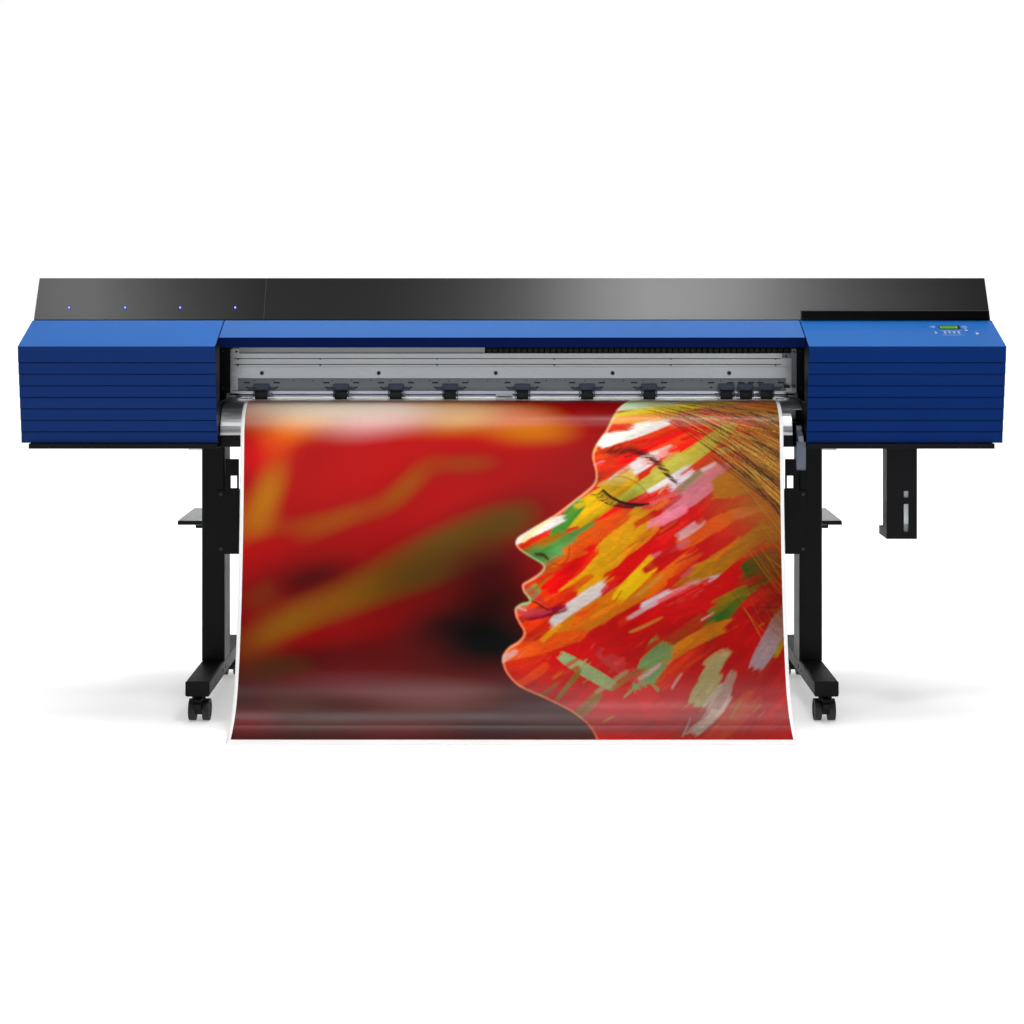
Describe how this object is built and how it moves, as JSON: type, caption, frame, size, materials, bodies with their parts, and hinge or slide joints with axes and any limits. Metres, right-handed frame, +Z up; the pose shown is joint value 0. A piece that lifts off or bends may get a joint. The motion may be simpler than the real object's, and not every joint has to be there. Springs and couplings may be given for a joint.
{
  "type": "wide-format printer cutter",
  "caption": "Roll-fed wide-format inkjet printer and contour cutter on a castered stand, with louvred end covers, hinged front cover and a printed sheet hanging from the platen.",
  "frame": {"origin": "middle of the bounding box on the floor", "axes": "+X to the operator's right along the machine, +Y to the rear, +Z up"},
  "size_m": [2.74, 0.9231, 1.236],
  "materials": {
    "blue_cover": "satin moulded blue",
    "navy_cover": "satin moulded dark blue",
    "black_cover": "satin black",
    "black_steel": "satin black powder coat",
    "black_plastic": "matte black",
    "grey_plastic": "satin grey-blue",
    "rail_aluminium": "drawn, clear anodised",
    "sheet_metal": "brushed",
    "steel": "ground",
    "chrome": "bright zinc",
    "rubber": "dull",
    "caster_tread": "dull",
    "vinyl_media": "semi-gloss coated sheet with a colour print",
    "paper": "semi-gloss coated sheet",
    "lcd": "green backlit display",
    "button_rubber": "soft touch",
    "bottle_plastic": "translucent natural"
  },
  "bodies": {
    "stand": {"stand_feet": "black_steel", "foot_caps": "black_plastic", "stand_columns": "black_steel", "stand_stays": "black_steel", "fasteners": "chrome", "roll_tray": "sheet_metal", "roll_supports": "black_steel", "media_web": "vinyl_media", "base_beam": "black_steel", "side_plates": "black_steel", "rear_panel": "black_steel", "bottom_tray": "black_steel", "platen": "sheet_metal", "apron": "sheet_metal", "rear_guide": "sheet_metal", "media_clamps": "steel", "guide_rail": "rail_aluminium", "drive_belt": "rubber", "motors": "black_plastic", "cable_chain": "black_plastic", "ink_bay": "black_plastic", "left_cover": "navy_cover", "right_cover": "navy_cover", "hood_left": "black_cover", "hood_main": "black_cover", "lcd_window": "lcd", "bottle_holder": "black_steel"},
    "caster_front_left": {"caster_front_left": "black_plastic"},
    "wheels_front_left": {"wheels_front_left": "caster_tread"},
    "caster_front_right": {"caster_front_right": "black_plastic"},
    "wheels_front_right": {"wheels_front_right": "caster_tread"},
    "caster_rear_left": {"caster_rear_left": "black_plastic"},
    "wheels_rear_left": {"wheels_rear_left": "caster_tread"},
    "caster_rear_right": {"caster_rear_right": "black_plastic"},
    "wheels_rear_right": {"wheels_rear_right": "caster_tread"},
    "media_roll": {"media_roll": "paper", "roll_flanges": "black_plastic"},
    "front_cover": {"front_cover": "blue_cover"},
    "print_carriage": {"print_carriage": "black_plastic"},
    "cut_carriage": {"cut_carriage": "black_plastic"},
    "blade_holder": {"blade_holder": "steel"},
    "drive_pulley": {"drive_pulley": "steel"},
    "idler_pulley": {"idler_pulley": "steel"},
    "grit_roller": {"grit_roller": "steel"},
    "loading_lever": {"loading_lever": "grey_plastic"},
    "pinch_arms": {"pinch_arms": "grey_plastic"},
    "pinch_wheels": {"pinch_wheels": "rubber"},
    "cap_unit": {"cap_unit": "black_plastic"},
    "ink_tray_1": {"ink_tray_1": "grey_plastic"},
    "ink_tray_2": {"ink_tray_2": "grey_plastic"},
    "ink_tray_3": {"ink_tray_3": "grey_plastic"},
    "ink_tray_4": {"ink_tray_4": "grey_plastic"},
    "drain_bottle": {"drain_bottle": "bottle_plastic"},
    "power_button": {"power_button": "button_rubber"},
    "enter_button": {"enter_button": "button_rubber"},
    "menu_button": {"menu_button": "button_rubber"},
    "left_button": {"left_button": "button_rubber"},
    "up_button": {"up_button": "button_rubber"},
    "down_button": {"down_button": "button_rubber"},
    "right_button": {"right_button": "button_rubber"}
  },
  "joints": [
    {"name": "swivel_front_left", "type": "hinge", "parent": "stand", "child": "caster_front_left", "pos_m": [-0.874, -0.2, 0.072], "axis": [0, 0, 1], "continuous": true},
    {"name": "spin_front_left", "type": "hinge", "parent": "caster_front_left", "child": "wheels_front_left", "pos_m": [-0.874, -0.182, 0.03], "axis": [1, 0, 0], "continuous": true},
    {"name": "swivel_front_right", "type": "hinge", "parent": "stand", "child": "caster_front_right", "pos_m": [0.874, -0.2, 0.072], "axis": [0, 0, 1], "continuous": true},
    {"name": "spin_front_right", "type": "hinge", "parent": "caster_front_right", "child": "wheels_front_right", "pos_m": [0.874, -0.182, 0.03], "axis": [1, 0, 0], "continuous": true},
    {"name": "swivel_rear_left", "type": "hinge", "parent": "stand", "child": "caster_rear_left", "pos_m": [-0.874, 0.395, 0.072], "axis": [0, 0, 1], "continuous": true},
    {"name": "spin_rear_left", "type": "hinge", "parent": "caster_rear_left", "child": "wheels_rear_left", "pos_m": [-0.874, 0.413, 0.03], "axis": [1, 0, 0], "continuous": true},
    {"name": "swivel_rear_right", "type": "hinge", "parent": "stand", "child": "caster_rear_right", "pos_m": [0.874, 0.395, 0.072], "axis": [0, 0, 1], "continuous": true},
    {"name": "spin_rear_right", "type": "hinge", "parent": "caster_rear_right", "child": "wheels_rear_right", "pos_m": [0.874, 0.413, 0.03], "axis": [1, 0, 0], "continuous": true},
    {"name": "roll_spin", "type": "hinge", "parent": "stand", "child": "media_roll", "pos_m": [0, 0.35, 0.612], "axis": [1, 0, 0], "continuous": true},
    {"name": "front_cover_hinge", "type": "hinge", "parent": "stand", "child": "front_cover", "pos_m": [0, -0.08, 1.102], "axis": [-1, 0, 0], "range_deg": [0, 70]},
    {"name": "print_travel", "type": "slide", "parent": "stand", "child": "print_carriage", "axis": [1, 0, 0], "range_m": [-1.84, 0]},
    {"name": "cut_travel", "type": "slide", "parent": "stand", "child": "cut_carriage", "axis": [1, 0, 0], "range_m": [0, 1.86]},
    {"name": "blade_lift", "type": "slide", "parent": "cut_carriage", "child": "blade_holder", "axis": [0, 0, 1], "range_m": [0, 0.006]},
    {"name": "drive_pulley_spin", "type": "hinge", "parent": "stand", "child": "drive_pulley", "pos_m": [1.24, 0.006, 1.028], "axis": [0, 0, 1], "continuous": true},
    {"name": "idler_pulley_spin", "type": "hinge", "parent": "stand", "child": "idler_pulley", "pos_m": [-1.24, 0.006, 1.028], "axis": [0, 0, 1], "continuous": true},
    {"name": "grit_spin", "type": "hinge", "parent": "stand", "child": "grit_roller", "pos_m": [0, -0.04, 0.8742], "axis": [1, 0, 0], "continuous": true},
    {"name": "loading_lever_turn", "type": "hinge", "parent": "stand", "child": "loading_lever", "pos_m": [0.8095, -0.136, 0.812], "axis": [-1, 0, 0], "range_deg": [0, 40]},
    {"name": "pinch_lift", "type": "hinge", "parent": "stand", "child": "pinch_arms", "pos_m": [0, 0.05, 0.896], "axis": [-1, 0, 0], "range_deg": [0, 2.4]},
    {"name": "pinch_spin", "type": "hinge", "parent": "pinch_arms", "child": "pinch_wheels", "pos_m": [0, -0.04, 0.9002], "axis": [1, 0, 0], "continuous": true},
    {"name": "cap_lift", "type": "slide", "parent": "stand", "child": "cap_unit", "axis": [0, 0, 1], "range_m": [-0.012, 0]},
    {"name": "ink_tray_1_slide", "type": "slide", "parent": "stand", "child": "ink_tray_1", "axis": [0, 1, 0], "range_m": [0, 0.11]},
    {"name": "ink_tray_2_slide", "type": "slide", "parent": "stand", "child": "ink_tray_2", "axis": [0, 1, 0], "range_m": [0, 0.11]},
    {"name": "ink_tray_3_slide", "type": "slide", "parent": "stand", "child": "ink_tray_3", "axis": [0, 1, 0], "range_m": [0, 0.11]},
    {"name": "ink_tray_4_slide", "type": "slide", "parent": "stand", "child": "ink_tray_4", "axis": [0, 1, 0], "range_m": [0, 0.11]},
    {"name": "drain_bottle_lift", "type": "slide", "parent": "stand", "child": "drain_bottle", "axis": [0, 0, 1], "range_m": [0, 0.05]},
    {"name": "power_button_press", "type": "slide", "parent": "stand", "child": "power_button", "axis": [0, 0.3782, -0.9257], "range_m": [0, 0.001], "stiffness_N_per_m": 400},
    {"name": "enter_button_press", "type": "slide", "parent": "stand", "child": "enter_button", "axis": [0, 0.3782, -0.9257], "range_m": [0, 0.001], "stiffness_N_per_m": 400},
    {"name": "menu_button_press", "type": "slide", "parent": "stand", "child": "menu_button", "axis": [0, 0.3782, -0.9257], "range_m": [0, 0.001], "stiffness_N_per_m": 400},
    {"name": "left_button_press", "type": "slide", "parent": "stand", "child": "left_button", "axis": [0, 0.3782, -0.9257], "range_m": [0, 0.001], "stiffness_N_per_m": 400},
    {"name": "up_button_press", "type": "slide", "parent": "stand", "child": "up_button", "axis": [0, 0.3782, -0.9257], "range_m": [0, 0.001], "stiffness_N_per_m": 400},
    {"name": "down_button_press", "type": "slide", "parent": "stand", "child": "down_button", "axis": [0, 0.3782, -0.9257], "range_m": [0, 0.001], "stiffness_N_per_m": 400},
    {"name": "right_button_press", "type": "slide", "parent": "stand", "child": "right_button", "axis": [0, 0.3782, -0.9257], "range_m": [0, 0.001], "stiffness_N_per_m": 400}
  ],
  "couplings": [
    {"joint": "drive_pulley_spin", "follows": "print_travel", "rad_per_m": 100},
    {"joint": "idler_pulley_spin", "follows": "print_travel", "rad_per_m": 100},
    {"joint": "pinch_lift", "follows": "loading_lever_turn", "ratio": 0.06},
    {"joint": "pinch_spin", "follows": "grit_spin", "ratio": -1}
  ]
}
